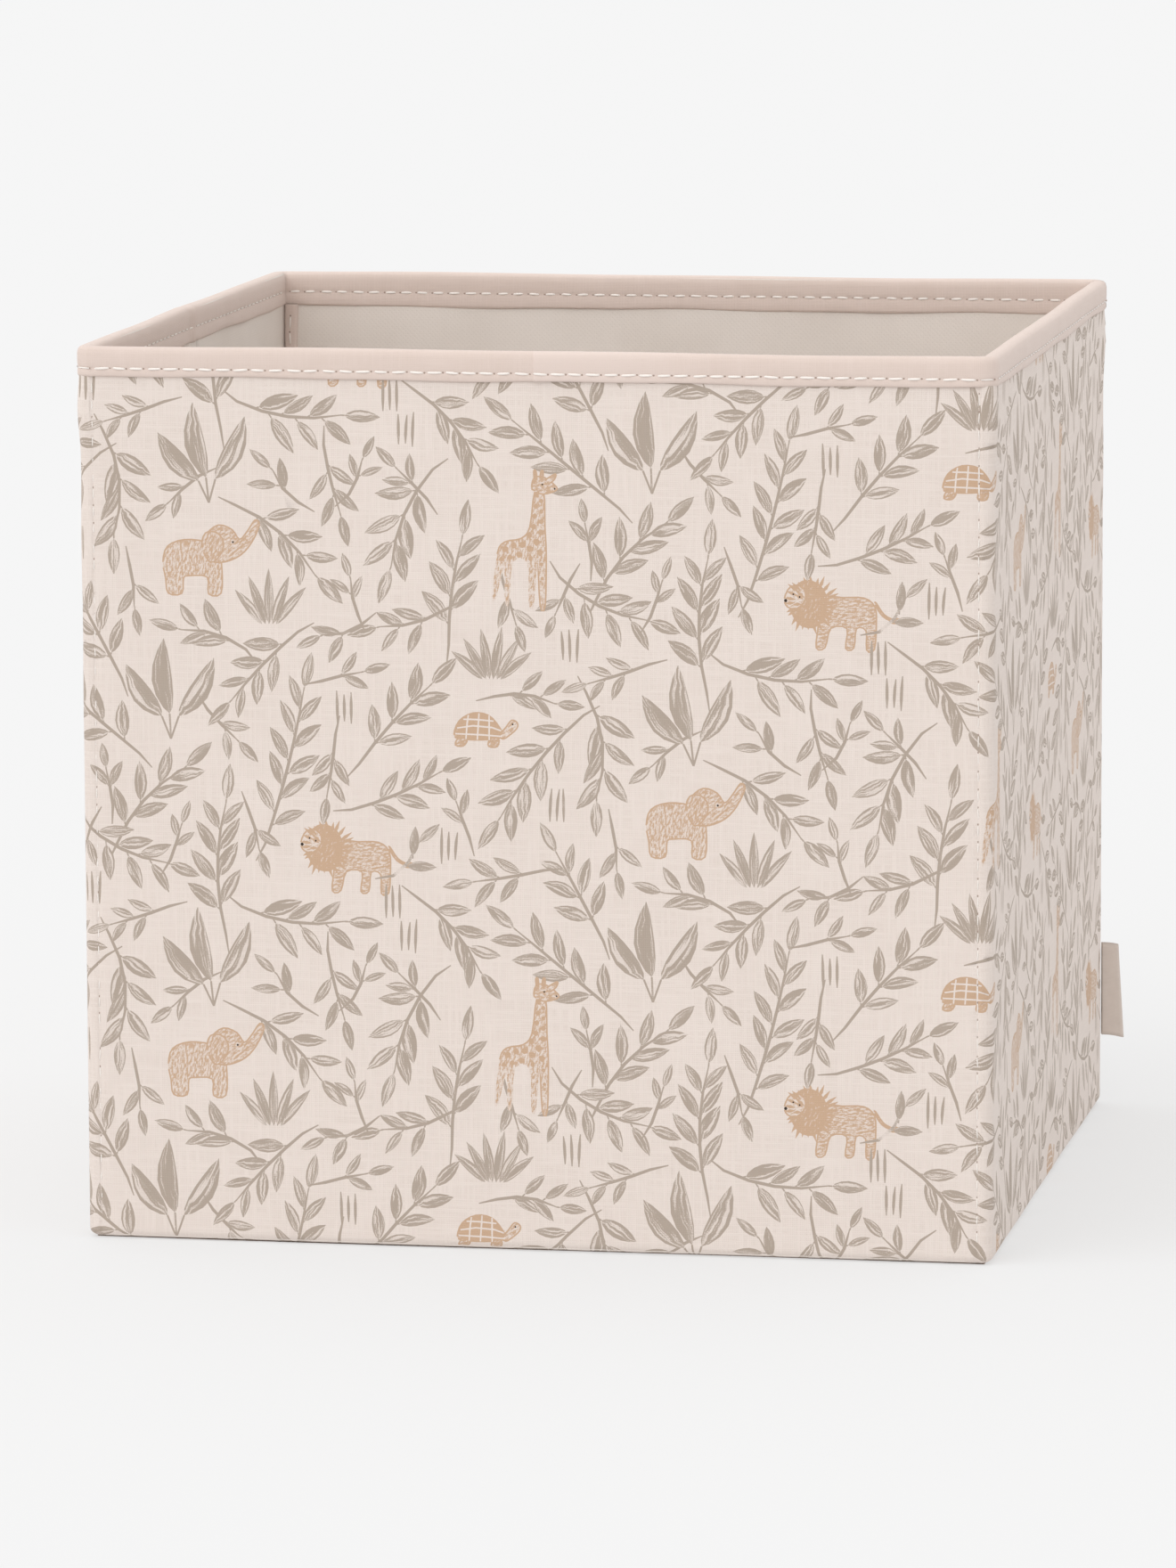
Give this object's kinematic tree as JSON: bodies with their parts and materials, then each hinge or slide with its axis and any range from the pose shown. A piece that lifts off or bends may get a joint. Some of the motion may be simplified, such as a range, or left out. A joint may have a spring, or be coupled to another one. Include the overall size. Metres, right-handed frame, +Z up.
{
  "type": "fabric storage bin",
  "caption": "Square open-top storage bin of printed cotton over stiff boards, with a bound rim, a loose base board and side walls that fold inwards so it packs flat.",
  "frame": {"origin": "middle of the underside, on the floor", "axes": "+Z up; +X to the right and -Y out of the front wall, seen from the front; the label is in the rear right corner"},
  "size_m": [0.2983, 0.2932, 0.285],
  "materials": {
    "printed_cotton": "woven cotton with a block print of animals and leaves, matte",
    "rim_tape": "plain woven cotton tape, matte",
    "lining": "point-bonded non-woven, matte",
    "board": "grey board, matte",
    "thread": "spun polyester thread, soft sheen",
    "label": "blank satin ribbon, soft sheen"
  },
  "bodies": {
    "back": {"back_cover": "printed_cotton", "back_board": "board", "back_lining": "lining", "back_rim_tape": "rim_tape", "back_rim_stitching": "thread", "back_left_seam_stitching": "thread", "back_left_corner_tape": "rim_tape", "back_right_seam_stitching": "thread", "back_right_corner_tape": "rim_tape", "bottom_cloth": "printed_cotton", "bottom_seam": "lining", "side_label": "label"},
    "left_rear": {"left_rear_cover": "printed_cotton", "left_rear_board": "board", "left_rear_lining": "lining", "left_rear_rim_tape": "rim_tape", "left_rear_rim_stitching": "thread"},
    "left_front": {"left_front_cover": "printed_cotton", "left_front_board": "board", "left_front_lining": "lining", "left_front_rim_tape": "rim_tape", "left_front_rim_stitching": "thread"},
    "front": {"front_cover": "printed_cotton", "front_board": "board", "front_lining": "lining", "front_rim_tape": "rim_tape", "front_rim_stitching": "thread", "front_left_seam_stitching": "thread", "front_left_corner_tape": "rim_tape", "front_right_seam_stitching": "thread", "front_right_corner_tape": "rim_tape"},
    "right_front": {"right_front_cover": "printed_cotton", "right_front_board": "board", "right_front_lining": "lining", "right_front_rim_tape": "rim_tape", "right_front_rim_stitching": "thread"},
    "right_rear": {"right_rear_cover": "printed_cotton", "right_rear_board": "board", "right_rear_lining": "lining", "right_rear_rim_tape": "rim_tape", "right_rear_rim_stitching": "thread"},
    "base_panel": {"base_board": "board", "base_board_sleeve": "lining"}
  },
  "joints": [
    {"name": "fold", "type": "hinge", "parent": "back", "child": "left_rear", "pos_m": [-0.14035, 0.13645, 0.1425], "axis": [0, 0, 1], "range_deg": [0, 90]},
    {"name": "left_crease", "type": "hinge", "parent": "left_rear", "child": "left_front", "pos_m": [-0.1465, -0.0015, 0.1425], "axis": [0, 0, 1], "range_deg": [-180, 0]},
    {"name": "front_left_corner", "type": "hinge", "parent": "left_front", "child": "front", "pos_m": [-0.14035, -0.13945, 0.1425], "axis": [0, 0, 1], "range_deg": [0, 90]},
    {"name": "front_right_corner", "type": "hinge", "parent": "front", "child": "right_front", "pos_m": [0.14035, -0.13945, 0.1425], "axis": [0, 0, 1], "range_deg": [0, 90]},
    {"name": "right_crease", "type": "hinge", "parent": "right_front", "child": "right_rear", "pos_m": [0.1465, -0.0015, 0.1425], "axis": [0, 0, 1], "range_deg": [-180, 0]},
    {"name": "base_tip", "type": "hinge", "parent": "back", "child": "base_panel", "pos_m": [0, 0.1368, 0.00085], "axis": [-1, 0, 0], "range_deg": [0, 90]}
  ],
  "couplings": [
    {"joint": "left_crease", "follows": "fold", "ratio": -2},
    {"joint": "front_left_corner", "follows": "fold", "ratio": 1},
    {"joint": "front_right_corner", "follows": "fold", "ratio": 1},
    {"joint": "right_crease", "follows": "fold", "ratio": -2}
  ]
}
